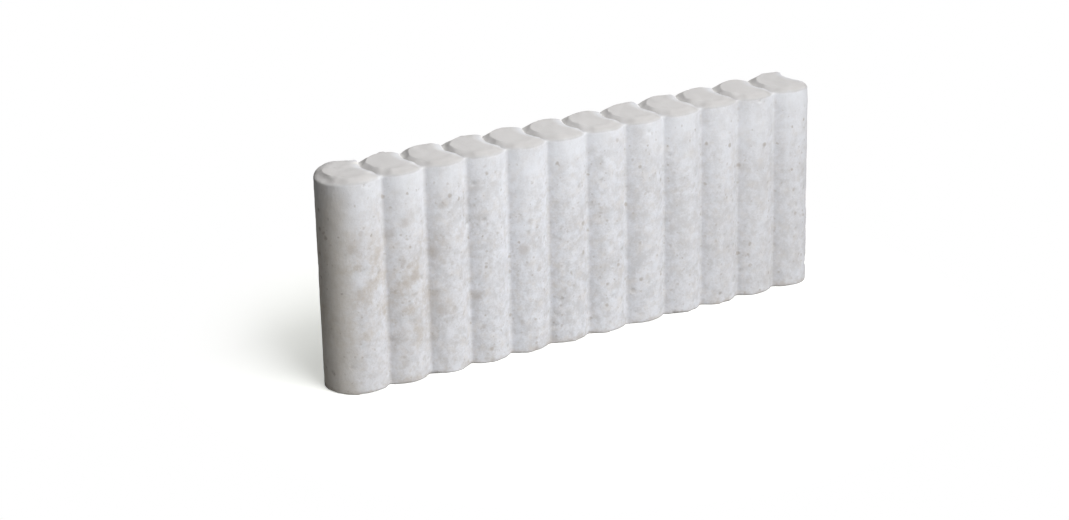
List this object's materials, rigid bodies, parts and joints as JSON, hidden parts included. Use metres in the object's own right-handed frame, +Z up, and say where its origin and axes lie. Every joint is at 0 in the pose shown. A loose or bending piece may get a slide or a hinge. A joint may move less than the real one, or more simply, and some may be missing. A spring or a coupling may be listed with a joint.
{
  "type": "concrete palisade edging unit",
  "caption": "Straight cast concrete edging unit shaped as a row of overlapping round posts, with one round end and one hollow end so that units nest in a line along beds, paths and lawns.",
  "frame": {"origin": "middle of the foot, at the centre of the unit's length and thickness", "axes": "+Z up, +X along the row from the round end to the hollow end, +Y across the thickness to the back face"},
  "size_m": [0.507, 0.06, 0.2],
  "materials": {
    "concrete": "pale grey pressed concrete, matt, fine sandy grain with small open pores"
  },
  "bodies": {
    "root": {"palisade_unit": "concrete"}
  },
  "joints": []
}
